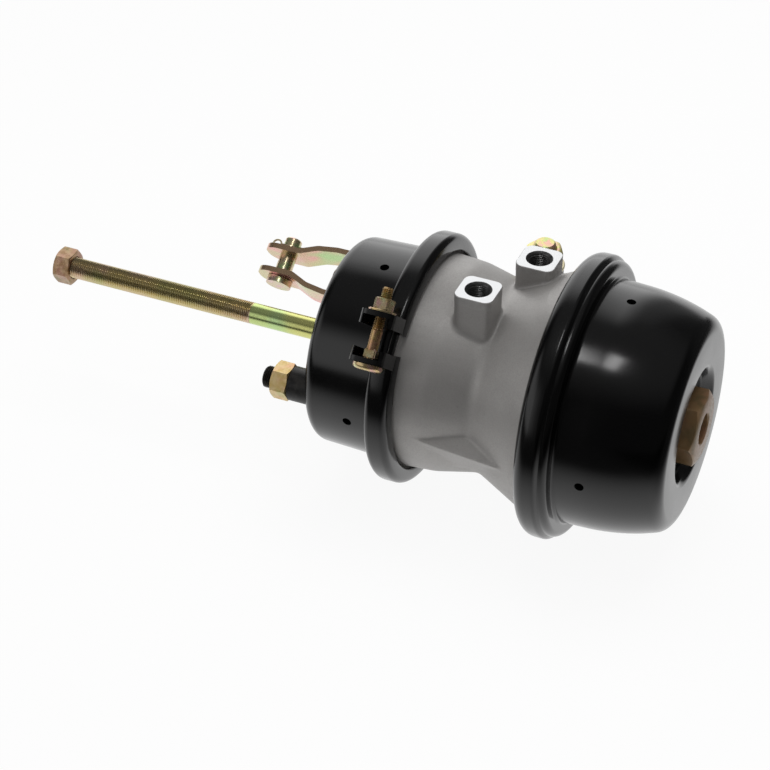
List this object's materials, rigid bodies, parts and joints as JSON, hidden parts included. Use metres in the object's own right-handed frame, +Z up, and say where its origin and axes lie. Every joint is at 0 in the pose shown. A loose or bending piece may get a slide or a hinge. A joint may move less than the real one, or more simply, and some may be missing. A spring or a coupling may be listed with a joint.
{
  "type": "spring brake chamber",
  "caption": "Air brake chamber with a push rod, a clamped service section, a ported cast body and a rear spring section.",
  "frame": {"origin": "centre of the mounting face, midway between the two mounting studs", "axes": "+X along the chamber's axis from the mounting face to the rear cap, so the push rod points to -X; +Z up, the way both air ports face; +Y towards the stud that holds the clevis"},
  "size_m": [0.508, 0.2061, 0.2056],
  "materials": {
    "black_paint": "gloss",
    "black_stud": "satin",
    "die_cast": "satin",
    "yellow_zinc": "satin",
    "nut_zinc": "satin",
    "plain_zinc": "satin",
    "spring_steel": "satin",
    "rubber": "matt",
    "guide_plastic": "matt",
    "bush_plastic": "matt",
    "plug_plastic": "satin"
  },
  "bodies": {
    "chamber": {"service_housing": "black_paint", "mounting_studs": "black_stud", "stud_nut": "nut_zinc", "rod_guide": "guide_plastic", "clamp_half_upper": "black_paint", "clamp_half_lower": "black_paint", "clamp_bolts": "yellow_zinc", "clamp_nuts": "yellow_zinc", "clamp_washers": "plain_zinc", "service_diaphragm": "rubber", "service_return_spring": "spring_steel", "center_casing": "die_cast", "rod_bush": "bush_plastic", "rod_seals": "rubber", "rod_return_spring": "spring_steel", "spring_diaphragm": "rubber", "rear_cap": "black_paint", "power_spring": "spring_steel", "port_plug": "plug_plastic", "release_bolt": "yellow_zinc", "release_nut": "yellow_zinc", "release_washer": "plain_zinc"},
    "spring_piston": {"actuating_rod": "plain_zinc", "actuating_plate": "plain_zinc", "pressure_plate": "die_cast"},
    "push_rod": {"push_rod": "yellow_zinc", "push_plate": "plain_zinc"},
    "push_rod_nut": {"push_rod_nut": "nut_zinc"},
    "clevis": {"clevis": "yellow_zinc"},
    "clevis_pin": {"clevis_pin": "yellow_zinc", "clevis_washer": "plain_zinc", "cotter_pin": "plain_zinc"}
  },
  "joints": [
    {"name": "spring_piston_stroke", "type": "slide", "parent": "chamber", "child": "spring_piston", "axis": [-1, 0, 0], "range_m": [-0.057, 0], "stiffness_N_per_m": 1000, "deforming": ["power_spring", "spring_diaphragm", "rod_return_spring"]},
    {"name": "push_rod_stroke", "type": "slide", "parent": "chamber", "child": "push_rod", "axis": [-1, 0, 0], "range_m": [-0.057, 0], "stiffness_N_per_m": 1000, "deforming": ["service_return_spring", "service_diaphragm"]},
    {"name": "push_rod_nut_turn", "type": "hinge", "parent": "push_rod", "child": "push_rod_nut", "pos_m": [-0.2285, 0, 0], "axis": [-1, 0, 0], "continuous": true},
    {"name": "clevis_turn", "type": "hinge", "parent": "chamber", "child": "clevis", "pos_m": [-0.0157, 0.06016, 0.00452], "axis": [-1, 0, 0], "range_deg": [-180, 180]},
    {"name": "clevis_pin_turn", "type": "hinge", "parent": "clevis", "child": "clevis_pin", "pos_m": [-0.0754, 0.06016, 0.00452], "axis": [0, 0.809, 0.5878], "continuous": true}
  ],
  "couplings": [
    {"joint": "push_rod_stroke", "follows": "spring_piston_stroke", "ratio": 1}
  ]
}
